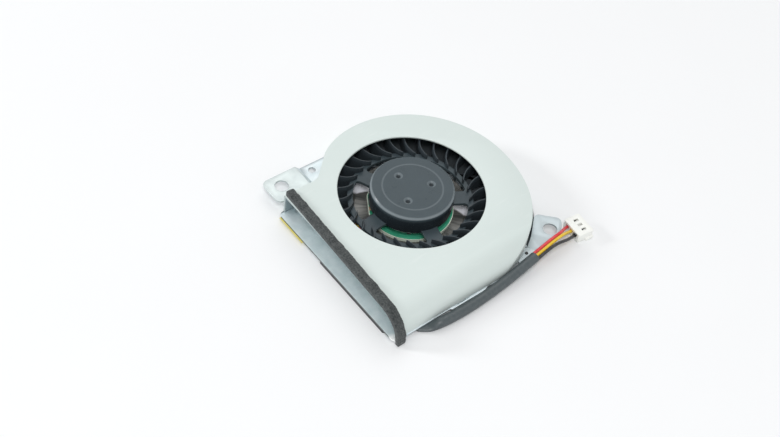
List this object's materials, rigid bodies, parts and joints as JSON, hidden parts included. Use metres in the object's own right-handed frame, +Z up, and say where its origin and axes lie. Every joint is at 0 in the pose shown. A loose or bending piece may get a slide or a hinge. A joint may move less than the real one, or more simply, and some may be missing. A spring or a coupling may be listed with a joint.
{
  "type": "laptop cooling fan",
  "caption": "Flat blower fan for a laptop, with a round inlet, a side outlet sealed with foam, screw ears, and a sleeved lead that ends in a small plug.",
  "frame": {"origin": "on the rotor's axis, on the surface the fan lies on", "axes": "+Z up along the rotor's axis, the outlet faces -Y, the rolled side of the cover is +X"},
  "size_m": [0.0563, 0.0598, 0.0082],
  "materials": {
    "cover": "satin coated sheet",
    "base_plate": "zinc-plated sheet",
    "outlet_foam": "matt foam",
    "lower_foam": "matt foam",
    "edge_tape": "thin film",
    "wire_tape": "thin film",
    "impeller": "glossy moulding",
    "rotor_yoke": "plated steel",
    "magnet_ring": "bonded magnet",
    "rotor_shaft": "ground steel",
    "bearing_holder": "turned brass",
    "sleeve_bearing": "sintered bronze",
    "thrust_pad": "moulded",
    "oil_retainer": "moulded",
    "board_insulator": "film",
    "circuit_board": "solder resist",
    "driver_chip": "moulded package",
    "hall_sensor": "moulded package",
    "stator_core": "laminated steel",
    "lower_insulator": "moulded",
    "upper_insulator": "moulded",
    "solder_joints": "solder",
    "cable_sleeve": "soft tube",
    "red_wire": "insulation",
    "yellow_wire": "insulation",
    "black_wire": "insulation",
    "connector_housing": "moulded",
    "glue_dab": "set glue",
    "coil": "enamelled copper wire",
    "chip_capacitor": "ceramic",
    "chip_resistor": "ceramic",
    "contact": "tin-plated"
  },
  "bodies": {
    "housing": {"cover": "cover", "base_plate": "base_plate", "outlet_foam": "outlet_foam", "lower_foam": "lower_foam", "edge_tape": "edge_tape", "wire_tape": "wire_tape", "bearing_holder": "bearing_holder", "sleeve_bearing": "sleeve_bearing", "thrust_pad": "thrust_pad", "oil_retainer": "oil_retainer", "board_insulator": "board_insulator", "circuit_board": "circuit_board", "driver_chip": "driver_chip", "hall_sensor": "hall_sensor", "stator_core": "stator_core", "lower_insulator": "lower_insulator", "upper_insulator": "upper_insulator", "solder_joints": "solder_joints", "cable_sleeve": "cable_sleeve", "red_wire": "red_wire", "yellow_wire": "yellow_wire", "black_wire": "black_wire", "connector_housing": "connector_housing", "glue_dab": "glue_dab", "coil_1": "coil", "coil_2": "coil", "coil_3": "coil", "coil_4": "coil", "chip_capacitor_1": "chip_capacitor", "chip_capacitor_2": "chip_capacitor", "chip_resistor_1": "chip_resistor", "chip_resistor_2": "chip_resistor", "chip_resistor_3": "chip_resistor", "contact_1": "contact", "contact_2": "contact", "contact_3": "contact"},
    "rotor": {"impeller": "impeller", "rotor_yoke": "rotor_yoke", "magnet_ring": "magnet_ring", "rotor_shaft": "rotor_shaft"}
  },
  "joints": [
    {"name": "impeller_spin", "type": "hinge", "parent": "housing", "child": "rotor", "pos_m": [0, 0, 0], "axis": [0, 0, 1], "continuous": true}
  ]
}
